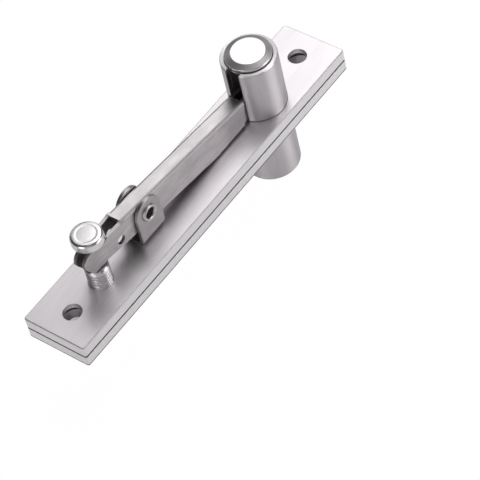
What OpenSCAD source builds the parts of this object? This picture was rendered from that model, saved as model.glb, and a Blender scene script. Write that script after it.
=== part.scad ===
// Retractable pivot hinge for a door: a frame unit with a lever-lifted pin and a door plate with its sleeve.
// The origin is on the pivot axis, at the top face of the frame plate. +Z is up the pivot axis, and -X runs
// along the plate to the adjusting screw. All sizes are in millimetres.

/* [Plates] */
// Length of both plates
plate_l = 132.4; // [128:0.2:150]
// Width of both plates
plate_w = 23; // [22:0.5:28]
// Thickness of each plate
plate_t = 4; // [3.5:0.5:5]
// Radius of the plates' corners
corner_r = 0.8; // [0.6:0.1:3]
// Bevel along the plates' edges
edge_bevel = 0.3; // [0.1:0.05:0.5]
// Distance from the pivot axis to the near end of the plates
short_end = 29.5; // [27:0.5:33]
// Air gap between the two stacked plates
plate_gap = 0.4; // [0.3:0.1:1]

/* [Wood screw holes] */
// Diameter of each hole
hole_d = 6; // [5:0.5:6]
// Diameter of each countersink
countersink_d = 10; // [9:0.5:11]
// Distance of each hole from its end of the plate
hole_inset = 9.1; // [8.5:0.1:10]

/* [Housing and sleeve] */
// Outside diameter of the housing tube and the sleeve
tube_d = 18; // [18:0.25:19]
// Diameter of their spigots, where each is pressed into its plate
spigot_d = 17.2; // [16.8:0.1:17.4]
// Bore of the housing tube and the sleeve
bore_d = 15; // [14.9:0.05:15.1]
// Height of the housing tube above the frame plate
housing_h = 20.5; // [20:0.5:24]
// Width of the slot that the lever works in
slot_w = 5; // [5:0.05:5.2]
// Length of the sleeve below the door plate
sleeve_l = 19.6; // [19:0.2:24]
// Thickness of the sleeve's closed end
sleeve_floor = 3.6; // [2:0.2:4]

/* [Pivot pin] */
// Diameter of the pin
pin_d = 14.84; // [14.75:0.01:14.86]
// Height of the pin's crown above the housing's rim
pin_proud = 1.9; // [1:0.1:3]
// Diameter of the flat on the pin's crown
crown_d = 10.8; // [9:0.2:12]
// Depth that the pin enters the sleeve
pin_reach = 13.8; // [12:0.1:13.9]

/* [Lever] */
// Outside width of the folded channel
lever_w = 5.9; // [5.8:0.05:5.9]
// Outside width of its two walls where they step inwards to pass through the housing's slot
neck_w = 4.7; // [4.6:0.05:4.7]
// Distance from the pivot axis to the channel's end beside the housing
channel_end_x = 9.25; // [9.25:0.05:9.6]
// Thickness of the lever's sheet
lever_sheet = 1.1; // [1:0.05:1.15]
// Radius outside the channel's two folds
fold_r = 1; // [0.6:0.1:1.3]
// Radius of the nose that lifts the pin
nose_r = 3.8; // [3.7:0.05:3.85]
// Height of the nose's centre above the frame plate
nose_z = 4.9; // [4.85:0.05:5]
// Distance from the pivot axis to the end of the folded web, where the fork begins
web_end_x = 68.3; // [67:0.1:69]
// Height of the web's end above the frame plate
web_end_z = 16.3; // [16.2:0.1:16.5]
// Height of the prongs' upper edges, which the screw's head presses on
prong_top = 16.05; // [15.9:0.05:16.1]
// Distance from the pivot axis to the prongs' tips
tip_x = 85.85; // [85.5:0.05:86]
// Inward lean of each prong, in millimetres for each millimetre of its length
toe_in = 0.05; // [0:0.01:0.05]
// Diameter of the spare hole through the fork
spare_hole_d = 3.1; // [2.5:0.1:3.5]

/* [Bracket and rivet] */
// Distance of the rivet from the pivot axis
rivet_x = 58.5; // [58.3:0.1:58.7]
// Height of the rivet above the frame plate
rivet_z = 10.8; // [10.75:0.05:10.85]
// Diameter of the rivet's shank
rivet_d = 4.8; // [4.4:0.1:5]
// Diameter of the rivet's rolled heads
rivet_head_d = 6; // [5.8:0.1:6.4]
// Bore of the hollow rivet
rivet_bore_d = 3.6; // [3:0.1:3.8]
// Width of each ear
ear_w = 10.8; // [10:0.2:12]
// Thickness of the bracket's sheet
bracket_sheet = 1.1; // [1:0.1:1.3]
// Radius outside the bracket's two bends
bend_r = 2.4; // [1.8:0.1:2.6]

/* [Adjusting screw] */
// Distance of the screw from the pivot axis
screw_x = 80; // [79.8:0.1:80.2]
// Outside diameter of the screw's thread
thread_d = 7.7; // [7.6:0.01:7.72]
// Clear diameter of the threaded hole in the frame plate
thread_hole_d = 7.8; // [7.8:0.01:7.9]
// Height of the shoulder where the thread ends
shoulder_z = 7.3; // [7.2:0.05:7.35]
// Diameter of the neck between the fork's prongs
neck_d = 2.2; // [2:0.1:2.2]
// Height of the underside of the head
head_z = 18.6; // [18.55:0.05:18.7]
// Diameter of the head
head_d = 10.2; // [9:0.2:10.2]
// Thickness of the head
head_t = 3.2; // [2.4:0.1:3.4]
// Width across flats of the hexagon socket in the screw's foot
socket_af = 4; // [3:0.5:4]
// Diameter of the hole in the door plate that clears the screw's foot
foot_hole_d = 9.6; // [9:0.1:10.4]

/* [Hidden] */
$fn = 96;

steel = "gainsboro";
polished = "whitesmoke";
satin = "silver";

cut = 1; // how far a cutting shape runs past the face it opens
slip = 0.05; // radial play of the lever on its rivet
side_play = 0.2; // play between the lever and each ear
far_end = short_end - plate_l;
hole_xs = [far_end + hole_inset, short_end - hole_inset];
door_top = -plate_t - plate_gap;
door_bottom = door_top - plate_t;
sleeve_bottom = door_bottom - sleeve_l;
rim_chamfer = 0.45;
foot_chamfer = 0.8;

// The lever's outline in X and Z. Its top line touches the nose's circle and rises to the web's end, and the
// prongs' ends are a tip circle above a smaller heel circle, with one straight line that touches both.
channel_gap = lever_w - 2 * lever_sheet;
nose = [0, nose_z];
web_end = [-web_end_x, web_end_z];
top_slope = atan2(web_end_z - nose_z, web_end_x) - asin(nose_r / norm(web_end - nose));
top_normal = [sin(top_slope), cos(top_slope)];
// The channel's end beside the housing leans, so that it clears the housing as the lever rocks. There each wall
// steps inwards over step_run, and its inner face steps step_back earlier, so that the sheet keeps its thickness.
end_lean = 11;
channel_end = [-channel_end_x, nose_z + (nose_r + (channel_end_x * sin(top_slope))) / cos(top_slope)];
step_in = (lever_w - neck_w) / 2;
step_run = 0.3;
step_back = lever_sheet * (norm([step_run, step_in]) - step_run) / step_in;
tip_r = 2.95;
tip = [tip_r - tip_x, prong_top - tip_r];
heel_r = 1.5;
heel = [tip.x + 0.7, tip.y - 4];
heel_lean = atan2(heel.x - tip.x, tip.y - heel.y) + asin((tip_r - heel_r) / norm(tip - heel));
heel_normal = [-cos(heel_lean), -sin(heel_lean)];
belly_start = [-25.5, 0.8];
belly_end = [-72.5, 7.5];
waist = [-77, 8];
// a shallow seat in the prongs' upper edges, under the screw's head
seat_r = 4.5;
seat_depth = 0.9;
seat = [-77.7, prong_top + seat_r - seat_depth];
toe_start = web_end_x + 1.2;
spare_hole = [-70.3, 10];

ear_in = lever_w / 2 + side_play;
ear_out = ear_in + bracket_sheet;
rivet_flange = 0.75;

pin_top = housing_h + pin_proud;
pin_bottom = door_top - pin_reach;
crown_h = 0.9;
// The pin's pocket fits the nose and flares out of its mouth, so that the lever can rock in it. Above the mouth
// it is milled on upwards as a groove in the pin's side.
groove_top = housing_h - 0.9;
groove_floor = 4.4;
pocket_play = 0.15;
pocket_w = slot_w;
pocket_end = nose_r + 0.5;
roof_flare = top_slope + 1.2;
floor_flare = 15.5;

screw_foot = -plate_t + 0.2;
socket_depth = 4;

module disc(at, r) {
    translate(at) circle(r = r);
}

// A 2D outline in X and Z, given thickness w about the plane y = 0.
module across(w) {
    rotate([90, 0, 0]) linear_extrude(height = w, center = true) children();
}

// A rectangle from lo to hi with its corners cut off at 45 degrees.
module cut_corner_rect(lo, hi, c) {
    polygon([
        [lo.x + c, lo.y], [hi.x - c, lo.y], [hi.x, lo.y + c], [hi.x, hi.y - c],
        [hi.x - c, hi.y], [lo.x + c, hi.y], [lo.x, hi.y - c], [lo.x, lo.y + c]
    ]);
}

module plate_outline() {
    half_w = plate_w / 2;
    translate([far_end + corner_r, -half_w]) square([plate_l - 2 * corner_r, plate_w]);
    translate([far_end, -half_w + corner_r]) square([plate_l, plate_w - 2 * corner_r]);
    for (x = [far_end + corner_r, short_end - corner_r], y = [-1, 1])
        disc([x, y * (half_w - corner_r)], corner_r);
}

// A flat bar between the heights bottom and top, with round corners and bevelled edges.
module plate_blank(bottom, top) {
    half_w = plate_w / 2;
    intersection() {
        translate([0, 0, bottom]) linear_extrude(height = top - bottom) plate_outline();
        across(plate_w + cut) cut_corner_rect([far_end, bottom], [short_end, top], edge_bevel);
        translate([far_end - cut, 0, 0]) rotate([90, 0, 90]) linear_extrude(height = plate_l + 2 * cut)
            cut_corner_rect([-half_w, bottom], [half_w, top], edge_bevel);
    }
}

// A wood screw's hole through a plate, from the face at z = 0 where the screw goes in, up to z = plate_t.
module wood_screw_hole() {
    sink = (countersink_d - hole_d) / 2;
    rotate_extrude() polygon([
        [0, -cut], [countersink_d / 2 + cut, -cut], [hole_d / 2, sink],
        [hole_d / 2, plate_t + cut], [0, plate_t + cut]
    ]);
}

module frame_plate() {
    color(steel) difference() {
        plate_blank(-plate_t, 0);
        for (x = hole_xs) translate([x, 0, -plate_t]) wood_screw_hole();
        translate([0, 0, -plate_t - cut]) cylinder(d = spigot_d, h = plate_t + 2 * cut);
        translate([-screw_x, 0, -plate_t - cut]) cylinder(d = thread_hole_d, h = plate_t + 2 * cut);
    }
}

module door_plate() {
    color(steel) difference() {
        plate_blank(door_bottom, door_top);
        for (x = hole_xs) translate([x, 0, door_top]) mirror([0, 0, 1]) wood_screw_hole();
        translate([0, 0, door_bottom - cut]) cylinder(d = spigot_d, h = plate_t + 2 * cut);
        translate([-screw_x, 0, door_bottom - cut]) cylinder(d = foot_hole_d, h = plate_t + 2 * cut);
    }
}

// Its spigot is pressed into the frame plate, and its slot opens towards the lever.
module housing_tube() {
    r = tube_d / 2;
    bore_r = bore_d / 2;
    spigot_r = spigot_d / 2;
    color(satin) difference() {
        rotate_extrude() polygon([
            [bore_r, -plate_t], [spigot_r, -plate_t], [spigot_r, 0], [r, 0], [r, housing_h - rim_chamfer],
            [r - rim_chamfer, housing_h], [bore_r + rim_chamfer, housing_h], [bore_r, housing_h - rim_chamfer]
        ]);
        translate([-tube_d, -slot_w / 2, 0]) cube([tube_d, slot_w, housing_h + cut]);
    }
}

// The spigot round its mouth is pressed into the door plate, and its far end is closed.
module door_sleeve() {
    r = tube_d / 2;
    bore_r = bore_d / 2;
    spigot_r = spigot_d / 2;
    bore_bottom = sleeve_bottom + sleeve_floor;
    color(satin) rotate_extrude() polygon([
        [0, sleeve_bottom], [r - rim_chamfer, sleeve_bottom], [r, sleeve_bottom + rim_chamfer],
        [r, door_bottom], [spigot_r, door_bottom], [spigot_r, door_top], [bore_r, door_top],
        [bore_r, bore_bottom + 1], [bore_r - 1, bore_bottom], [0, bore_bottom]
    ]);
}

module pin_pocket_outline() {
    h = nose_r + pocket_play;
    mouth = pin_d / 2 + cut;
    floor_drop = mouth * tan(floor_flare);
    polygon([
        [pocket_end, nose_z - h], [pocket_end, nose_z + h], [0, nose_z + h],
        [-groove_floor, nose_z + h + groove_floor * tan(roof_flare)], [-groove_floor, groove_top],
        [-mouth, groove_top], [-mouth, nose_z - h - floor_drop], [0, nose_z - h]
    ]);
}

module pivot_pin() {
    r = pin_d / 2;
    color(polished) difference() {
        rotate_extrude() polygon([
            [0, pin_bottom], [r - foot_chamfer, pin_bottom], [r, pin_bottom + foot_chamfer],
            [r, pin_top - crown_h], [crown_d / 2, pin_top], [0, pin_top]
        ]);
        across(pocket_w) pin_pocket_outline();
    }
}

module lever_outline() {
    difference() {
        union() {
            disc(nose, nose_r);
            disc(tip, tip_r);
            disc(heel, heel_r);
            polygon([
                nose + nose_r * top_normal, web_end, [-toe_start, prong_top], tip + [0, tip_r],
                tip + tip_r * heel_normal, heel + heel_r * heel_normal, heel - [0, heel_r],
                waist, belly_end, belly_start, nose - [0, nose_r]
            ]);
        }
        disc(seat, seat_r);
    }
}

// The section of the folded channel, with its web's upper face at y = 0 and its walls hanging down.
module channel_section() {
    half_w = lever_w / 2;
    depth = 4 * nose_r;
    difference() {
        union() {
            translate([-half_w, -depth]) square([lever_w, depth - fold_r]);
            translate([-half_w + fold_r, -fold_r - cut]) square([lever_w - 2 * fold_r, fold_r + cut]);
            for (side = [-1, 1]) disc([side * (half_w - fold_r), -fold_r], fold_r);
        }
        translate([-channel_gap / 2, -depth - cut]) square([channel_gap, depth + cut - lever_sheet]);
    }
}

// Everything on the fork's side of the channel's leaning end.
module channel_side() {
    reach = tip_x + 4 * nose_r;
    translate(channel_end) rotate(-end_lean) translate([-reach, -reach]) square([reach, 2 * reach]);
}

// One wall's sheet past the channel's end, in plan, extruded along the leaning end with no outline yet.
module neck_sheet() {
    outer = lever_w / 2;
    inner = outer - lever_sheet;
    reach = channel_end_x + 2 * nose_r;
    translate([channel_end.x, 0, channel_end.y]) rotate([0, end_lean, 0]) translate([0, 0, -reach])
        linear_extrude(height = 2 * reach) polygon([
            [-step_back, inner], [step_run - step_back, inner - step_in], [reach, inner - step_in],
            [reach, outer - step_in], [step_run, outer - step_in], [0, outer], [-0.1, outer]
        ]);
}

// One prong's sheet in plan, with no outline yet. It leans inwards past the web's end.
module prong_sheet() {
    outer = lever_w / 2;
    inner = outer - lever_sheet;
    toe = toe_in * (tip_x + cut - toe_start);
    linear_extrude(height = web_end_z + cut) polygon([
        [-web_end_x + cut, inner], [-toe_start, inner], [-tip_x - cut, inner - toe],
        [-tip_x - cut, outer - toe], [-toe_start, outer], [-web_end_x + cut, outer]
    ]);
}

module lever() {
    channel_l = web_end_x / cos(top_slope) + 2 * nose_r;
    top_at_pin = nose + nose_r * top_normal;
    top_at_web_end = (web_end_x + top_at_pin.x) / cos(top_slope);
    color(satin) difference() {
        intersection() {
            across(lever_w + cut) lever_outline();
            union() {
                // the channel, folded along its top line from the web's end to the end beside the housing
                intersection() {
                    translate([top_at_pin.x, 0, top_at_pin.y]) rotate([0, top_slope, 0])
                        translate([-top_at_web_end, 0, 0]) rotate([90, 0, 90])
                        linear_extrude(height = channel_l) channel_section();
                    across(lever_w + cut) channel_side();
                }
                for (side = [0, 1]) mirror([0, side, 0]) {
                    neck_sheet();
                    prong_sheet();
                }
            }
        }
        translate([-rivet_x, 0, rivet_z]) rotate([90, 0, 0])
            cylinder(d = rivet_d + 2 * slip, h = lever_w + cut, center = true);
        translate([spare_hole.x, 0, spare_hole.y]) rotate([90, 0, 0])
            cylinder(d = spare_hole_d, h = lever_w + cut, center = true);
    }
}

// A folded U whose web lies on the frame plate and whose two ears carry the rivet.
module bracket_section(height) {
    inner_r = bend_r - bracket_sheet;
    difference() {
        union() {
            translate([-ear_out, bend_r]) square([2 * ear_out, height]);
            translate([-ear_out + bend_r, 0]) square([2 * (ear_out - bend_r), bend_r + cut]);
            for (side = [-1, 1]) disc([side * (ear_out - bend_r), bend_r], bend_r);
        }
        translate([-ear_in, bend_r]) square([2 * ear_in, height + cut]);
        translate([-ear_in + inner_r, bracket_sheet]) square([2 * (ear_in - inner_r), bend_r + cut]);
        for (side = [-1, 1]) disc([side * (ear_in - inner_r), bend_r], inner_r);
    }
}

module bracket() {
    ear_r = ear_w / 2;
    color(satin) difference() {
        intersection() {
            translate([-rivet_x - ear_r - cut, 0, 0]) rotate([90, 0, 90])
                linear_extrude(height = ear_w + 2 * cut) bracket_section(rivet_z + ear_r);
            across(2 * ear_out + cut) {
                disc([-rivet_x, rivet_z], ear_r);
                translate([-rivet_x - ear_r, 0]) square([ear_w, rivet_z]);
            }
        }
        translate([-rivet_x, 0, rivet_z]) rotate([90, 0, 0])
            cylinder(d = rivet_d, h = 2 * ear_out + cut, center = true);
    }
}

// A hollow rivet: its two heads are the tube's ends, rolled out against the ears.
module rivet() {
    r = rivet_d / 2;
    bore_r = rivet_bore_d / 2;
    head_r = rivet_head_d / 2;
    tip = ear_out + rivet_flange;
    color(satin) translate([-rivet_x, 0, rivet_z]) rotate([90, 0, 0]) rotate_extrude() polygon([
        [bore_r, tip - 0.3], [bore_r + 0.25, tip], [head_r - 0.35, tip], [head_r, ear_out + 0.3],
        [head_r, ear_out], [r, ear_out], [r, -ear_out], [head_r, -ear_out], [head_r, -ear_out - 0.3],
        [head_r - 0.35, -tip], [bore_r + 0.25, -tip], [bore_r, -tip + 0.3]
    ]);
}

module adjusting_screw() {
    r = thread_d / 2;
    head_r = head_d / 2;
    head_top = head_z + head_t;
    rounding = 0.9;
    crown_drop = 0.35; // fall of the domed head from its middle to its edge
    crown_r = (pow(head_r - rounding, 2) + pow(crown_drop, 2)) / (2 * crown_drop);
    color(polished) translate([-screw_x, 0, 0]) difference() {
        rotate_extrude() {
            polygon([
                [0, screw_foot], [r - foot_chamfer, screw_foot], [r, screw_foot + foot_chamfer],
                [r, shoulder_z - 0.5], [r - 0.5, shoulder_z], [0, shoulder_z]
            ]);
            translate([0, shoulder_z - cut]) square([neck_d / 2, head_z + 2 * cut - shoulder_z]);
            translate([0, head_z]) square([head_r - 0.3, head_t - crown_drop - rounding]);
            translate([0, head_z + 0.3]) square([head_r, head_t - crown_drop - rounding - 0.3]);
            disc([head_r - 0.3, head_z + 0.3], 0.3);
            disc([head_r - rounding, head_top - crown_drop - rounding], rounding);
            intersection() {
                translate([0, head_z]) square([head_r - rounding, head_t + cut]);
                disc([0, head_top - crown_r], crown_r);
            }
        }
        translate([0, 0, screw_foot - cut]) cylinder(d = socket_af / cos(30), h = socket_depth + cut, $fn = 6);
    }
}

frame_plate();
housing_tube();
bracket();
rivet();
lever();
pivot_pin();
adjusting_screw();
door_plate();
door_sleeve();
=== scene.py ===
import math

import bmesh
import bpy
import numpy as np
from mathutils import Matrix, Vector


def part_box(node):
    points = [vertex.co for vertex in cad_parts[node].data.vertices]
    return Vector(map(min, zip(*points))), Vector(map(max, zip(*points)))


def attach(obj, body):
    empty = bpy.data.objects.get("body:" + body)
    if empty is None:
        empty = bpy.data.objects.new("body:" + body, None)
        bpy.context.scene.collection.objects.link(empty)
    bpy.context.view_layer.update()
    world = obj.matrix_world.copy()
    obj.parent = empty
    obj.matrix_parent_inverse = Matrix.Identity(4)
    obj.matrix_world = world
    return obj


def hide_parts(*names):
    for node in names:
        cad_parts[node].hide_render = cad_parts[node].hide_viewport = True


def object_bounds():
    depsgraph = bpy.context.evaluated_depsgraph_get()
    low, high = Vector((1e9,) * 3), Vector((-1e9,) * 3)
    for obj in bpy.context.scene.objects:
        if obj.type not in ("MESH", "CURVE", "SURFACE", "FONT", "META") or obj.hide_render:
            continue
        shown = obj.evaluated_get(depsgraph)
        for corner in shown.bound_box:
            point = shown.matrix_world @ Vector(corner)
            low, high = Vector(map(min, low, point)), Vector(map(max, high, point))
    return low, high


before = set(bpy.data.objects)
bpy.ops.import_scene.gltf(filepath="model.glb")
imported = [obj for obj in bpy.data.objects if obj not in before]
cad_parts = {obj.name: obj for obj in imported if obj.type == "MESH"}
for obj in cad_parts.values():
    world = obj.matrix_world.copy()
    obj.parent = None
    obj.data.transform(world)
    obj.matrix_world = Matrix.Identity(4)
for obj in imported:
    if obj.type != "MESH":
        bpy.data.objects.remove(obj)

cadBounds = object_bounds()
mm = 0.001
scene = bpy.context.scene
scene.view_settings.view_transform = "Standard"


# camera

cameraView = {
    "place": (-0.39310, -0.40929, 0.61426),
    "target": (-0.04760, -0.02781, 0.0),
    "roll": -14.7,      # degrees, round the line of sight
    "lens": 203.4,
    "sensor": 36,
    "nearest": 0.01,
}


def makeCamera(view):
    place = Vector(view["place"])
    data = bpy.data.cameras.new("camera")
    data.lens = view["lens"]
    data.sensor_width = view["sensor"]
    data.clip_start = view["nearest"]
    camera = bpy.data.objects.new("camera", data)
    scene.collection.objects.link(camera)
    aim = (Vector(view["target"]) - place).to_track_quat("-Z", "Y").to_matrix()
    turn = Matrix.Rotation(math.radians(view["roll"]), 3, "Z")
    camera.matrix_world = Matrix.Translation(place) @ (aim @ turn).to_4x4()
    scene.camera = camera


makeCamera(cameraView)
print("camera")


# shader maths

class Value:
    # an output socket; + - * and ** on it add Math nodes to its tree
    def __init__(self, tree, socket):
        self.tree = tree
        self.socket = socket

    def maths(self, operation, left, right=0.0):
        return addNode(self.tree, "ShaderNodeMath", {"operation": operation}, {0: left, 1: right})

    def __add__(self, other):
        return self.maths("ADD", self, other)

    def __sub__(self, other):
        return self.maths("SUBTRACT", self, other)

    def __rsub__(self, other):
        return self.maths("SUBTRACT", other, self)

    def __mul__(self, other):
        return self.maths("MULTIPLY", self, other)

    def __pow__(self, other):
        return self.maths("POWER", self, other)

    __radd__ = __add__
    __rmul__ = __mul__

    def size(self):
        return self.maths("ABSOLUTE", self)

    def larger(self, other):
        return self.maths("MAXIMUM", self, other)

    def ramp(self, low, high):
        # 0 below low, 1 above high, smooth between
        span = {"interpolation_type": "SMOOTHSTEP", "clamp": True}
        return addNode(self.tree, "ShaderNodeMapRange", span, {0: self, 1: low, 2: high})


def addNode(tree, kind, settings, inputs, output=0):
    # settings come first, because some of them change which sockets there are
    node = tree.nodes.new(kind)
    for name, setting in settings.items():
        setattr(node, name, setting)
    for key, value in inputs.items():
        if isinstance(value, Value):
            tree.links.new(value.socket, node.inputs[key])
        else:
            node.inputs[key].default_value = value
    return Value(tree, node.outputs[output])


def mixColours(tree, share, first, second):
    settings = {"data_type": "RGBA", "blend_type": "MIX"}
    return addNode(tree, "ShaderNodeMix", settings, {0: share, 6: first, 7: second}, 2)


def stretchedNoise(tree, scales, pattern):
    # noise on the piece's own coordinates, with so many cells to each millimetre along X, Y and Z
    place = addNode(tree, "ShaderNodeTexCoord", {}, {}, "Object")
    perMetre = [scale / mm for scale in scales]
    spread = addNode(tree, "ShaderNodeMapping", {}, {"Vector": place, "Scale": perMetre})
    return addNode(tree, "ShaderNodeTexNoise", {}, {"Vector": spread, "Scale": 1.0, **pattern})


# finishes: a grain of fine drawn lines, a cloudy tint and a few broader marks, and zones with a look of their own,
# most of them painted shade and a few painted light

# painted shade: the dark colour the zones paint into hollows, gaps, creases and edges that lie in shade
paintedShadeColour = (0.28, 0.265, 0.275, 1)
# painted light: a lighter colour for the plates' side faces and a painted highlight on the tube's rim
paintedLightColour = (0.97, 0.94, 0.96, 1)

patterns = {
    "grain": {"Detail": 4.0, "Roughness": 0.55, "Distortion": 0.0},
    "cloud": {"Detail": 4.0, "Roughness": 0.55, "Distortion": 0.6},
    "marks": {"Detail": 2.0, "Roughness": 0.55, "Distortion": 0.0},
}

# how the cloud and the marks add up to the share of the dark colour, what that does to the roughness, how high the
# marks stand against the grain, and the turn of the stretched highlights
wear = {
    "cloudRamp": (0.35, 0.65), "cloudShare": 0.6, "marksRamp": (0.45, 0.75), "marksShare": 0.4,
    "usual": 0.4, "roughnessShare": 0.4, "marksHeight": 0.5, "highlightTurn": 0.25,
}

# A zone is a box, or an upright cylinder if it is round, given by its middle and half sizes in mm. Its core is left
# out of it, tilt raises it along -X, soft blurs its faces, and strength is its colour's share. What a zone doesn't say
# comes from here: painted shade, dark and rough.
plainZone = {
    "core": None, "round": False, "tilt": 0.0, "soft": 0.08, "strength": 1.0,
    "colour": paintedShadeColour, "rougher": 0.3,
}

finishes = {
    "satin_plate": {
        "light": (0.90, 0.862, 0.89, 1), "dark": (0.82, 0.785, 0.81, 1),
        "roughness": 0.42, "spread": 0.10, "anisotropy": 0.0,
        "grain": (0.05, 4.0, 4.0), "grainHeight": 0.006,
        "cloud": (0.03, 0.09, 0.09), "marks": (0.02, 1.1, 1.1),
        "zones": [
            # the side faces painted lighter, as painted light; painted shade along the seam between the two plates and
            # along the lowest edge
            {"middle": (-36.7, 0, -4.2), "half": (70, 15, 9), "core": (65.9, 11.2, 6), "soft": 0.2,
             "colour": paintedLightColour, "rougher": 0.0},
            {"middle": (-36.7, 0, -4.2), "half": (70, 15, 0.36), "core": (65.6, 10.9, 1)},
            {"middle": (-36.7, 0, -8.4), "half": (70, 15, 0.65), "core": (65.6, 10.9, 1)},
            # painted shade on the upper edge, darker and rougher so as to dim its highlight
            {"middle": (-36.7, 0, 0), "half": (70, 15, 0.35), "core": (65.9, 11.2, 1),
             "colour": (0.62, 0.595, 0.61, 1), "rougher": 0.15},
            # painted shade on the screw holes' walls
            {"middle": (-93.8, 0, -3.2), "half": (5.02, 5.02, 1.5), "round": True},
            {"middle": (20.4, 0, -3.2), "half": (5.02, 5.02, 1.5), "round": True},
        ],
    },
    "turned_steel": {
        "light": (0.77, 0.735, 0.757, 1), "dark": (0.67, 0.64, 0.66, 1),
        "roughness": 0.37, "spread": 0.06, "anisotropy": 0.9,
        "grain": (0.12, 0.12, 5.0), "grainHeight": 0.002,
        "cloud": (0.10, 0.10, 0.04), "marks": (0.5, 0.5, 0.03),
        "zones": [
            # painted shade on the slot's faces and along the seam at the tube's foot, and a painted highlight on the
            # rim
            {"middle": (-6.2, 0, 9.4), "half": (3.0, 2.7, 10.2), "colour": (0.5, 0.48, 0.49, 1)},
            {"middle": (0, 0, 0), "half": (9.4, 9.4, 0.3)},
            {"middle": (0, 0, 20.6), "half": (9.4, 9.4, 0.35), "colour": paintedLightColour, "rougher": 0.12},
        ],
    },
    "pressed_steel": {
        "light": (0.71, 0.683, 0.693, 1), "dark": (0.54, 0.517, 0.525, 1),
        "roughness": 0.32, "spread": 0.12, "anisotropy": 0.0,
        "grain": (0.10, 4.0, 4.0), "grainHeight": 0.005,
        "cloud": (0.12, 0.25, 0.25), "marks": (0.05, 1.3, 1.3),
        "zones": [
            # painted shade on the lever's end inside the tube, then on the inside of its channel and fork
            {"middle": (0, 0, 8), "half": (9.5, 2.8, 13)},
            {"middle": (-50, 0, 2.515), "half": (41, 1.88, 10), "tilt": 0.1463},
            # painted shade on the lever's near fold, made rougher too so as to dim its highlight, and on the bracket's
            # bends down at the plate
            {"middle": (0, -2.5, 8.3), "half": (69, 0.6, 0.55), "tilt": 0.111, "soft": 0.15,
             "colour": (0.5, 0.485, 0.49, 1), "rougher": 0.25},
            {"middle": (-58.5, 0, 0), "half": (8, 5, 1.7), "soft": 0.5},
            # painted shade on the bracket's ears, on the fork tips and on the lever's lower end by the tube, each a
            # little rougher
            {"middle": (-58.5, 0, 9), "half": (8, 4.35, 10), "core": (9, 3.3, 11),
             "strength": 0.35, "rougher": 0.03},
            {"middle": (-84, 0, 11.5), "half": (5, 5, 6), "soft": 2.5, "strength": 0.35, "rougher": 0.05},
            {"middle": (-10, 0, 2.5), "half": (9, 5, 6), "soft": 3.5, "strength": 0.45, "rougher": 0.05},
        ],
    },
    "polished_steel": {
        "light": (0.93, 0.90, 0.92, 1), "dark": (0.86, 0.83, 0.85, 1),
        "roughness": 0.25, "spread": 0.06, "anisotropy": 0.0,
        "grain": (0.3, 0.3, 6.0), "grainHeight": 0.0015,
        "cloud": (0.2, 0.2, 0.2), "marks": (0.1, 0.1, 2.0),
        "zones": [
            # painted shade in the pin's pocket and groove, and in a line round it at the tube's rim
            {"middle": (-3.5, 0, 9.3), "half": (8.2, 2.7, 10.4)},
            {"middle": (0, 0, 20.45), "half": (7.7, 7.7, 0.45)},
            # painted shade on the pin's chamfer, and the screw's thread a little rougher
            {"middle": (0, 0, 21.95), "half": (7.7, 7.7, 0.45), "core": (5.5, 5.5, 1), "round": True,
             "colour": (0.55, 0.53, 0.54, 1), "rougher": 0.15},
            {"middle": (-80, 0, -3), "half": (4.2, 4.2, 10), "round": True,
             "colour": (0.90, 0.87, 0.89, 1), "rougher": 0.12},
        ],
    },
}


def inside(tree, zone, half):
    # 1 within these half sizes of the zone's middle, 0 outside them
    place = addNode(tree, "ShaderNodeTexCoord", {}, {}, "Object")
    parts = tree.nodes.new("ShaderNodeSeparateXYZ")
    tree.links.new(place.socket, parts.inputs[0])
    x, y, z = (Value(tree, parts.outputs[axis]) - middle * mm for axis, middle in zip("XYZ", zone["middle"]))
    z = z + x * zone["tilt"]
    if zone["round"]:
        across = (x ** 2 + y ** 2) ** 0.5 - half[0] * mm
    else:
        across = (x.size() - half[0] * mm).larger(y.size() - half[1] * mm)
    soft = zone["soft"] * mm
    return 1 - across.larger(z.size() - half[2] * mm).ramp(-soft, soft)


def makeFinish(name, look):
    material = bpy.data.materials.new(name)
    material.use_nodes = True
    tree = material.node_tree
    shader = tree.nodes["Principled BSDF"]
    shader.inputs["Metallic"].default_value = 1.0
    shader.inputs["Anisotropic"].default_value = look["anisotropy"]
    shader.inputs["Anisotropic Rotation"].default_value = wear["highlightTurn"]
    grain, cloud, marks = (stretchedNoise(tree, look[name], pattern) for name, pattern in patterns.items())
    worn = cloud.ramp(*wear["cloudRamp"]) * wear["cloudShare"] + marks.ramp(*wear["marksRamp"]) * wear["marksShare"]
    colour = mixColours(tree, worn, look["light"], look["dark"])
    wornSpread = wear["roughnessShare"] * look["spread"]
    roughness = look["roughness"] + (grain - 0.5) * look["spread"] + (worn - wear["usual"]) * wornSpread
    # the zones paint shade, and on a few edges light, into the colour, and add roughness
    for given in look["zones"]:
        zone = {**plainZone, **given}
        share = inside(tree, zone, zone["half"])
        if zone["core"]:
            share = share * (1 - inside(tree, zone, zone["core"]))
        colour = mixColours(tree, share * zone["strength"], colour, zone["colour"])
        roughness = roughness + share * zone["rougher"]
    tree.links.new(colour.socket, shader.inputs["Base Color"])
    tree.links.new(roughness.socket, shader.inputs["Roughness"])
    raised = grain + marks * wear["marksHeight"]
    height = {"Height": raised, "Strength": 1.0, "Distance": look["grainHeight"] * mm}
    bump = addNode(tree, "ShaderNodeBump", {}, height)
    tree.links.new(bump.socket, shader.inputs["Normal"])
    return material


finishOf = {name: makeFinish(name, look) for name, look in finishes.items()}
print("finishes:", ", ".join(finishOf))


# surfaces

surfaceSettings = {
    "mergeGap": 0.002,      # mm
    "strayAngle": 40,       # degrees
    "edgeSegments": 2,
}


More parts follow.
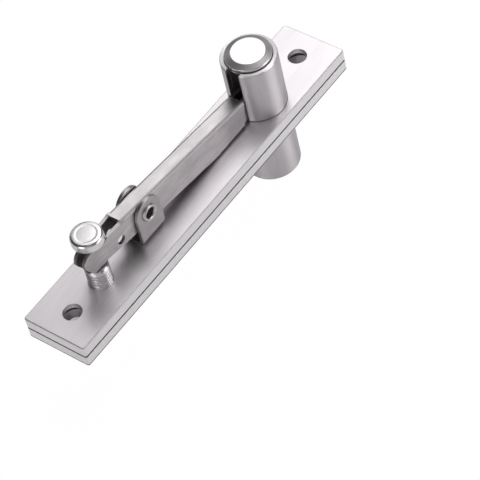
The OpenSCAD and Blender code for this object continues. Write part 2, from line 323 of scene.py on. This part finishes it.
class Shell:
    # the patches of one piece's surface, welded together at the end
    def __init__(self):
        self.points = []
        self.faces = []
        self.count = 0

    def grid(self, points, around=False):
        # points has rows, columns and X, Y, Z; around joins the last column to the first
        rows, columns = points.shape[:2]
        row, column = np.meshgrid(np.arange(rows - 1), np.arange(columns - (not around)), indexing="ij")
        here = self.count + row * columns + column
        beside = self.count + row * columns + (column + 1) % columns
        quads = np.stack([here, beside, beside + columns, here + columns], axis=-1)
        self.faces += quads.reshape(-1, 4).tolist()
        self.points.append(points.reshape(-1, 3))
        self.count += rows * columns

    def flat(self, points):
        # one flat face with these points as its rim
        self.faces.append(list(range(self.count, self.count + len(points))))
        self.points.append(np.asarray(points))
        self.count += len(points)

    def mesh(self, name):
        made = bpy.data.meshes.new(name)
        made.from_pydata((np.concatenate(self.points) * mm).tolist(), [], self.faces)
        return weld(made)


def weld(mesh, flatten=0.0, sharp=38):
    # merges what coincides, joins flat faces if flatten is an angle, and turns every face outwards
    work = bmesh.new()
    work.from_mesh(mesh)
    bmesh.ops.remove_doubles(work, verts=work.verts, dist=surfaceSettings["mergeGap"] * mm)
    if flatten:
        bmesh.ops.dissolve_limit(work, angle_limit=flatten, verts=work.verts, edges=work.edges)
    bmesh.ops.recalc_face_normals(work, faces=work.faces)
    work.to_mesh(mesh)
    work.free()
    mesh.shade_smooth()
    mesh.set_sharp_from_angle(angle=math.radians(sharp))
    return mesh


def settle(piece):
    # Applies the modifiers. A corner whose shading normal they threw further than strayAngle off its own face gets
    # the face's normal back.
    evaluated = piece.evaluated_get(bpy.context.evaluated_depsgraph_get())
    mesh = bpy.data.meshes.new_from_object(evaluated)
    shading = np.empty(len(mesh.loops) * 3)
    mesh.corner_normals.foreach_get("vector", shading)
    shading = shading.reshape(-1, 3)
    flat = np.empty(len(mesh.polygons) * 3)
    mesh.polygon_normals.foreach_get("vector", flat)
    corners = np.empty(len(mesh.polygons), int)
    mesh.polygons.foreach_get("loop_total", corners)
    flat = np.repeat(flat.reshape(-1, 3), corners, axis=0)
    stray = (shading * flat).sum(axis=1) < math.cos(math.radians(surfaceSettings["strayAngle"]))
    mesh.normals_split_custom_set(np.where(stray[:, None], flat, shading))
    piece.modifiers.clear()
    piece.data = mesh
    mesh.name = piece.name


def addPiece(name, mesh, body, slot, node, edgeRound=0.0, sharp=32):
    piece = bpy.data.objects.new(name, mesh)
    scene.collection.objects.link(piece)
    mesh.materials.clear()
    mesh.materials.append(finishOf[slot])
    if edgeRound:
        bevel = piece.modifiers.new("edges", "BEVEL")
        bevel.width = edgeRound * mm
        bevel.segments = surfaceSettings["edgeSegments"]
        bevel.limit_method = "ANGLE"
        bevel.angle_limit = math.radians(sharp)
    even = piece.modifiers.new("even_shading", "WEIGHTED_NORMAL")
    even.keep_sharp = True
    settle(piece)
    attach(piece, body)
    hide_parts(node)


def roundedProfile(corners, rounds, steps=4):
    # Each corner becomes an arc of its own radius r. The arc touches both sides at r / tan(h) from the corner,
    # where h is half the angle between them, and its centre is r / sin(h) away on their bisector.
    corners = np.asarray(corners, float)
    made = [corners[:1]]
    for before, corner, after, radius in zip(corners, corners[1:], corners[2:], rounds):
        if not radius:
            made.append(corner[None])
            continue
        back = (before - corner) / np.linalg.norm(before - corner)
        onward = (after - corner) / np.linalg.norm(after - corner)
        half = math.acos(np.clip(back @ onward, -1, 1)) / 2
        bisector = (back + onward) / np.linalg.norm(back + onward)
        centre = corner + bisector * radius / math.sin(half)
        start = corner + back * radius / math.tan(half) - centre
        end = corner + onward * radius / math.tan(half) - centre
        share = np.linspace(0, 1, steps + 1)[:, None]
        sweep = math.pi - 2 * half
        arc = (np.sin((1 - share) * sweep) * start + np.sin(share * sweep) * end) / math.sin(sweep)
        made.append(centre + arc)
    made.append(corners[-1:])
    return np.concatenate(made)


def turned(profile, steps):
    # (r, z) of the profile and angle a give (r cos a, r sin a, z)
    angle = np.linspace(0, 2 * math.pi, steps, endpoint=False)
    r = profile[:, :1]
    z = np.broadcast_to(profile[:, 1:], (len(profile), steps))
    return np.stack([r * np.cos(angle), r * np.sin(angle), z], axis=-1)


def millimetres(node):
    # a node's lowest and highest corners
    low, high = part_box(node)
    return np.array(low) / mm, np.array(high) / mm


# the two plates

# all holes by their radius
plateShape = {
    "cornerRadius": 0.8, "edgeRound": 0.3,
    "screwHoleInset": 9.1, "screwHole": 3.0, "countersink": 5.0, "countersinkRound": 0.3,
    "spigotHole": 8.6, "threadHole": 3.9, "footHole": 4.8,
    "holeRound": 0.15, "cornerSteps": 10, "holeSteps": 72,
}


def plateRim(low, high, inset, z, shape):
    # a rectangle with corner arcs, begun and split at the middle of its short ends; inset moves it inwards
    radius = shape["cornerRadius"] - inset
    turn = np.linspace(0, math.pi / 2, shape["cornerSteps"] + 1)
    far = high - shape["cornerRadius"]
    near = low + shape["cornerRadius"]
    corners = [(far[0], far[1], 0), (near[0], far[1], 1), (near[0], near[1], 2), (far[0], near[1], 3)]
    arcs = [np.stack([x + radius * np.cos(turn + quarter * math.pi / 2),
                      y + radius * np.sin(turn + quarter * math.pi / 2)], axis=-1)
            for x, y, quarter in corners]
    right = np.array([[high[0] - inset, 0.0]])
    left = np.array([[low[0] + inset, 0.0]])
    rim = np.concatenate([right, arcs[0], arcs[1], left, arcs[2], arcs[3]])
    return np.column_stack([rim, np.full(len(rim), z)])


def plateMesh(name, node, holes, shape):
    # holes has, for each hole on the middle line, its X and its wall's profile from the lower face to the upper
    low, high = millimetres(node)
    shell = Shell()
    edge = roundedProfile(
        [(shape["edgeRound"] * 2, low[2]), (0, low[2]), (0, high[2]), (shape["edgeRound"] * 2, high[2])],
        [shape["edgeRound"]] * 2)[1:-1]
    rims = np.stack([plateRim(low, high, inset, z, shape) for inset, z in edge])
    shell.grid(rims, around=True)
    steps = shape["holeSteps"]
    walls = [turned(profile, steps) + np.array([x, 0, 0]) for x, profile in holes]
    for wall in walls:
        shell.grid(wall, around=True)
    middle = len(rims[0]) // 2
    for row in (0, -1):
        rim = rims[row]
        circles = [wall[row] for wall in walls]
        upper = [circle[steps // 2::-1] for circle in circles]
        lower = [np.roll(circle, -1, axis=0)[steps // 2 - 1:][::-1] for circle in circles]
        shell.flat(np.concatenate([rim[:middle + 1]] + upper))
        shell.flat(np.concatenate([rim[middle:], rim[:1]] + lower[::-1]))
    return shell.mesh(name)


# The walls' profiles begin and end on the plate's faces, one millimetre outside the hole, and those two points are
# dropped once the hole's edges are rounded.

def screwHoleWall(low, high, sinkAtTop, shape):
    # a plain hole with a 90 degree countersink on one face
    sink = shape["countersink"] - shape["screwHole"]
    edge = shape["holeRound"]
    wall = [(shape["screwHole"] + 1, 0), (shape["screwHole"], 0), (shape["screwHole"], high - low - sink),
            (shape["countersink"], high - low), (shape["countersink"] + 1, high - low)]
    wall = roundedProfile(wall, [edge, shape["countersinkRound"], edge])[1:-1]
    if sinkAtTop:
        return wall + [0, low]
    return wall[::-1] * [1, -1] + [0, high]


def plainHoleWall(radius, low, high, edge):
    return roundedProfile([(radius + 1, low), (radius, low), (radius, high), (radius + 1, high)], [edge] * 2)[1:-1]


screwLow, screwHigh = millimetres("adjusting_screw")
screwX = (screwLow[0] + screwHigh[0]) / 2


def dressPlate(node, body, screwEndHole, sinkAtTop, shape):
    # screwEndHole is the radius of the hole that the adjusting screw passes through
    low, high = millimetres(node)
    bottom, top = low[2], high[2]
    holes = [
        (low[0] + shape["screwHoleInset"], screwHoleWall(bottom, top, sinkAtTop, shape)),
        (screwX, plainHoleWall(screwEndHole, bottom, top, shape["holeRound"])),
        (0.0, plainHoleWall(shape["spigotHole"], bottom, top, shape["holeRound"])),
        (high[0] - shape["screwHoleInset"], screwHoleWall(bottom, top, sinkAtTop, shape)),
    ]
    name = node + "_dressed"
    addPiece(name, plateMesh(name, node, holes, shape), body, "satin_plate", node)
    print(node, "with", len(holes), "holes")


dressPlate("frame_plate", "frame_unit", plateShape["threadHole"], False, plateShape)
dressPlate("door_plate", "door_unit", plateShape["footHole"], True, plateShape)


# the slotted housing tube

tubeShape = {
    "outer": 9.0, "bore": 7.5, "slotHalf": 2.5,
    "rimChamfer": 0.3, "edgeRound": 0.1, "steps": 120,
}


def housingMesh(shape):
    # The spigot is a plain ring, up to the plate's top face at z = 0. Above it each circle of radius r runs from one
    # side of the slot to the other, over the angles within pi - asin(slotHalf / r) of +X, so the slot keeps its width.
    low, high = millimetres("housing_tube")
    spigot = plateShape["spigotHole"]
    shell = Shell()
    ring = np.array([(shape["bore"], low[2]), (spigot, low[2]), (spigot, 0), (shape["bore"], 0),
                     (shape["bore"], low[2])])
    shell.grid(turned(ring, shape["steps"]), around=True)
    rim = shape["rimChamfer"]
    wall = np.array([
        (shape["bore"], 0), (shape["outer"], 0), (shape["outer"], high[2] - rim),
        (shape["outer"] - rim, high[2]), (shape["bore"] + rim, high[2]), (shape["bore"], high[2] - rim),
        (shape["bore"], 0)])
    share = np.linspace(-1, 1, shape["steps"])
    r = wall[:, :1]
    angle = share * (math.pi - np.arcsin(shape["slotHalf"] / r))
    points = np.stack([r * np.cos(angle), r * np.sin(angle), np.broadcast_to(wall[:, 1:], angle.shape)], axis=-1)
    shell.grid(points)
    shell.flat(points[:-1, 0])
    shell.flat(points[:-1, -1])
    return shell.mesh("housing_tube_dressed")


addPiece("housing_tube_dressed", housingMesh(tubeShape), "frame_unit", "turned_steel", "housing_tube",
         tubeShape["edgeRound"])


# the closed sleeve under the door plate

sleeveShape = {
    "footRound": 0.6, "spigotRound": 0.05, "mouthRound": 0.2, "boreFillet": 1.0, "floor": 3.6, "steps": 120,
}


def sleeveMesh(shape):
    low, high = millimetres("door_sleeve")
    outer = tubeShape["outer"]
    bore = tubeShape["bore"]
    spigot = plateShape["spigotHole"]
    shoulder = millimetres("door_plate")[0][2]
    floor = low[2] + shape["floor"]
    profile = roundedProfile(
        [(0, low[2]), (outer, low[2]), (outer, shoulder), (spigot, shoulder), (spigot, high[2]),
         (bore, high[2]), (bore, floor), (0, floor)],
        [shape["footRound"], shape["spigotRound"], 0, shape["spigotRound"], shape["mouthRound"],
         shape["boreFillet"]])
    shell = Shell()
    shell.grid(turned(profile, shape["steps"]), around=True)
    return shell.mesh("door_sleeve_dressed")


addPiece("door_sleeve_dressed", sleeveMesh(sleeveShape), "door_unit", "turned_steel", "door_sleeve")
print("housing tube and sleeve")


# the folded lever, its bracket and the pin: the solids' own forms, with their edges eased

easedEdges = {
    "flatAngle": 0.3,       # degrees; faces that meet at less are joined before the edges are eased
    "lever": {"round": 0.12, "sharp": 20},
    "bracket": {"round": 0.14, "sharp": 32},
    "pivot_pin": {"round": 0.14, "sharp": 15},
}


def easedCopy(node, body, slot):
    name = node + "_dressed"
    edge = easedEdges[node]
    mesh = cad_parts[node].data.copy()
    mesh.name = name
    mesh = weld(mesh, math.radians(easedEdges["flatAngle"]), edge["sharp"])
    addPiece(name, mesh, body, slot, node, edge["round"], edge["sharp"])


easedCopy("lever", "lever", "pressed_steel")
easedCopy("bracket", "frame_unit", "pressed_steel")
easedCopy("pivot_pin", "pin", "polished_steel")
print("lever, bracket and pin")


# the hollow rivet

rivetShape = {
    "shank": 2.4, "bore": 1.8, "head": 3.0, "headHeight": 0.75, "rimHeight": 0.2, "rollSteps": 12, "steps": 72,
}


def rivetMesh(shape):
    # A profile round the rivet's axis. The rolled head is half an ellipse from the bore to the head's rim, and it
    # stands on a straight rim.
    low, high = millimetres("rivet")
    centre = (low + high) / 2
    seat = high[1] - shape["headHeight"]
    turn = np.linspace(math.pi, 0, shape["rollSteps"] + 1)
    middle = (shape["bore"] + shape["head"]) / 2
    reach = (shape["head"] - shape["bore"]) / 2
    rim = shape["rimHeight"]
    roll = np.stack([middle + reach * np.cos(turn),
                     seat + rim + (shape["headHeight"] - rim) * np.sin(turn)], axis=-1)
    half = np.concatenate([roll, [(shape["head"], seat), (shape["shank"], seat)]])
    profile = np.concatenate([half, half[::-1] * [1, -1], half[:1]])
    ring = turned(profile, shape["steps"])
    shell = Shell()
    shell.grid(np.stack([centre[0] + ring[..., 0], ring[..., 2], centre[2] + ring[..., 1]], axis=-1), around=True)
    return shell.mesh("rivet_dressed")


addPiece("rivet_dressed", rivetMesh(rivetShape), "frame_unit", "pressed_steel", "rivet")


# the adjusting screw

screwShape = {
    # the thread's groove is given in pitches: half its width, and how steeply it falls
    "thread": 3.85, "threadDepth": 0.3, "pitch": 1.25, "grooveHalf": 0.25, "grooveSteep": 4.4, "rowsPerPitch": 14,
    "threadStart": 0.4, "threadEnd": 0.35, "runOut": 0.9,
    "shoulder": 7.3, "shoulderChamfer": 0.5, "footChamfer": 0.8, "neck": 1.1, "neckRound": 0.3,
    "headBottom": 18.6, "head": 5.1, "headRound": 1.0, "headLip": 0.02, "crownDrop": 0.07,
    "facing": 3.3, "facingDepth": 0.03, "facingEdge": 0.12, "crownSteps": 3, "facingSteps": 8, "roundSteps": 6,
    "socketHalf": 2.0, "socketDepth": 4.0, "socketCone": 0.8, "steps": 96,
}


def screwShank(angle, shape):
    # The radius is thread - threadDepth * V(z / pitch - a / 2 pi), where V rises from 0 on the crest to 1 in the
    # groove, and the depth fades to 0 at both ends of the thread.
    foot, top = screwLow[2], shape["shoulder"]
    rows = int((top - foot) / shape["pitch"] * shape["rowsPerPitch"])
    z = np.linspace(foot, top, rows + 1)[:, None]
    phase = (z / shape["pitch"] - angle / (2 * math.pi)) % 1.0
    groove = np.clip((shape["grooveHalf"] - np.abs(phase - 0.5)) * shape["grooveSteep"], 0, 1)
    groove = groove * groove * (3 - 2 * groove)
    fade = np.minimum(z - foot - shape["threadStart"], top - shape["threadEnd"] - z) / shape["runOut"]
    threaded = shape["thread"] - shape["threadDepth"] * groove * np.clip(fade, 0, 1)
    footCone = shape["thread"] - np.clip(foot + shape["footChamfer"] - z, 0, None)
    topCone = shape["thread"] - np.clip(z - (top - shape["shoulderChamfer"]), 0, None)
    r = np.minimum(np.minimum(threaded, footCone), topCone)
    return np.stack([r * np.cos(angle), r * np.sin(angle), np.broadcast_to(z, r.shape)], axis=-1)


def screwSocket(angle, shape):
    # the foot's hexagon socket: its flats lie socketHalf / cos(a) from the axis, a within 30 degrees of a flat
    foot = screwLow[2]
    aside = (angle + math.pi / 6) % (math.pi / 3) - math.pi / 6
    hexagon = shape["socketHalf"] / np.cos(aside)
    mouth = np.stack([hexagon * np.cos(angle), hexagon * np.sin(angle), np.full(len(angle), foot)], axis=-1)
    bottom = mouth + [0, 0, shape["socketDepth"]]
    centre = np.broadcast_to([0, 0, foot + shape["socketDepth"] + shape["socketCone"]], mouth.shape)
    return np.stack([centre, bottom, mouth])


def screwHead(shape):
    # The neck and the head as a turned profile. The head is a gentle dome, an arc that falls by crownDrop, with a
    # shallow turned facing in its middle.
    top = screwHigh[2]
    side = top - shape["crownDrop"]
    edge = shape["head"] - shape["headRound"]
    arc = (edge ** 2 + shape["crownDrop"] ** 2) / (2 * shape["crownDrop"])
    outside = np.linspace(edge, shape["facing"] + shape["facingEdge"], shape["crownSteps"] + 1)[1:]
    out = np.concatenate([outside, np.linspace(shape["facing"], 0, shape["facingSteps"] + 1)])
    height = top - arc + np.sqrt(arc ** 2 - out ** 2) - shape["facingDepth"] * (out <= shape["facing"])
    neck = roundedProfile(
        [(shape["thread"] - shape["shoulderChamfer"], shape["shoulder"]), (shape["neck"], shape["shoulder"]),
         (shape["neck"], shape["headBottom"]), (shape["head"], shape["headBottom"]), (shape["head"], side),
         (edge, side)],
        [shape["neckRound"]] * 3 + [shape["headRound"] - shape["headLip"]], steps=shape["roundSteps"])
    return turned(np.concatenate([neck, np.stack([out, height], axis=-1)]), shape["steps"])


def screwMesh(shape):
    angle = np.linspace(0, 2 * math.pi, shape["steps"], endpoint=False)
    rows = np.concatenate([screwSocket(angle, shape), screwShank(angle, shape), screwHead(shape)])
    shell = Shell()
    shell.grid(rows + np.array([screwX, 0, 0]), around=True)
    return shell.mesh("adjusting_screw_dressed")


addPiece("adjusting_screw_dressed", screwMesh(screwShape), "screw", "polished_steel", "adjusting_screw")
print("rivet and adjusting screw")


# floor, backdrop and lights

studio = {
    "floorSize": 6.0, "floorGap": 0.02, "floorColour": (0.92, 0.92, 0.93, 1),
    "shadowShare": 0.05, "glossShare": 0.25, "glow": 1.03, "room": 0.06,
    "lampDistance": 0.55,
    # azimuth from +X towards +Y and elevation in degrees, size (across, up) in metres
    "lamps": {
        "rear_softbox": {"azimuth": 30, "elevation": 42, "size": (0.32, 0.46), "radiance": 1.14},
        "high_softbox": {"azimuth": 5, "elevation": 64, "size": (0.30, 0.28), "radiance": 2.0},
        "overhead": {"azimuth": 228, "elevation": 81, "size": (0.22, 0.22), "radiance": 0.45},
        "top_fill": {"azimuth": 62, "elevation": 62, "size": (0.24, 0.26), "radiance": 0.5},
        "back_fill": {"azimuth": 75, "elevation": 28, "size": (0.24, 0.26), "radiance": 0.5},
        "right_softbox": {"azimuth": 297, "elevation": 20, "size": (0.28, 0.36), "radiance": 1.9},
        "low_right": {"azimuth": 288, "elevation": 10, "size": (0.38, 0.26), "radiance": 1.2},
        "front_fill": {"azimuth": 225, "elevation": 26, "size": (0.36, 0.30), "radiance": 0.45},
        "right_high": {"azimuth": 314, "elevation": 48, "size": (0.26, 0.22), "radiance": 0.28},
        "left_strip": {"azimuth": 183, "elevation": 14, "size": (0.24, 0.36), "radiance": 2.0},
    },
}


def seenDirectly(tree):
    # 1 for the rays that meet the backdrop straight from the camera, and 1 for those by way of a glossy surface
    path = tree.nodes.new("ShaderNodeLightPath")
    camera = Value(tree, path.outputs["Is Camera Ray"])
    glossy = Value(tree, path.outputs["Is Glossy Ray"])
    through = Value(tree, path.outputs["Is Transmission Ray"])
    return camera, glossy + through


def makeFloor(values):
    half = values["floorSize"] / 2
    z = cadBounds[0].z - values["floorGap"] * mm
    mesh = bpy.data.meshes.new("floor")
    mesh.from_pydata([(-half, -half, z), (half, -half, z), (half, half, z), (-half, half, z)], [], [(0, 1, 2, 3)])
    floor = bpy.data.objects.new("floor", mesh)
    scene.collection.objects.link(floor)
    material = bpy.data.materials.new("floor")
    material.use_nodes = True
    tree = material.node_tree
    tree.nodes.clear()
    camera, mirrored = seenDirectly(tree)
    matte = addNode(tree, "ShaderNodeBsdfDiffuse", {}, {"Color": values["floorColour"]})
    glow = addNode(tree, "ShaderNodeEmission", {}, {"Color": (1, 1, 1, 1), "Strength": values["glow"]})
    share = camera * (1 - values["shadowShare"]) + mirrored * values["glossShare"]
    mixed = addNode(tree, "ShaderNodeMixShader", {}, {0: share, 1: matte, 2: glow})
    end = tree.nodes.new("ShaderNodeOutputMaterial")
    tree.links.new(mixed.socket, end.inputs["Surface"])
    mesh.materials.append(material)


def makeWorld(values):
    world = bpy.data.worlds.new("studio")
    scene.world = world
    world.use_nodes = True
    tree = world.node_tree
    tree.nodes.clear()
    camera = seenDirectly(tree)[0]
    strength = values["room"] + camera * (1 - values["room"])
    glow = addNode(tree, "ShaderNodeBackground", {}, {"Color": (1, 1, 1, 1), "Strength": strength})
    end = tree.nodes.new("ShaderNodeOutputWorld")
    tree.links.new(glow.socket, end.inputs["Surface"])


def makeLamp(name, lamp, distance, target):
    data = bpy.data.lights.new(name, "AREA")
    data.shape = "RECTANGLE"
    data.size, data.size_y = lamp["size"]
    data.energy = lamp["radiance"] * math.pi * data.size * data.size_y
    lampObject = bpy.data.objects.new(name, data)
    scene.collection.objects.link(lampObject)
    azimuth = math.radians(lamp["azimuth"])
    elevation = math.radians(lamp["elevation"])
    level = math.cos(elevation)
    outwards = Vector((level * math.cos(azimuth), level * math.sin(azimuth), math.sin(elevation)))
    lampObject.location = target + outwards * distance
    lampObject.rotation_euler = (-outwards).to_track_quat("-Z", "Y").to_euler()
    lampObject.visible_camera = False


makeFloor(studio)
makeWorld(studio)
for lampName, lamp in studio["lamps"].items():
    makeLamp(lampName, lamp, studio["lampDistance"], (cadBounds[0] + cadBounds[1]) / 2)
print("studio with", len(studio["lamps"]), "lamps")
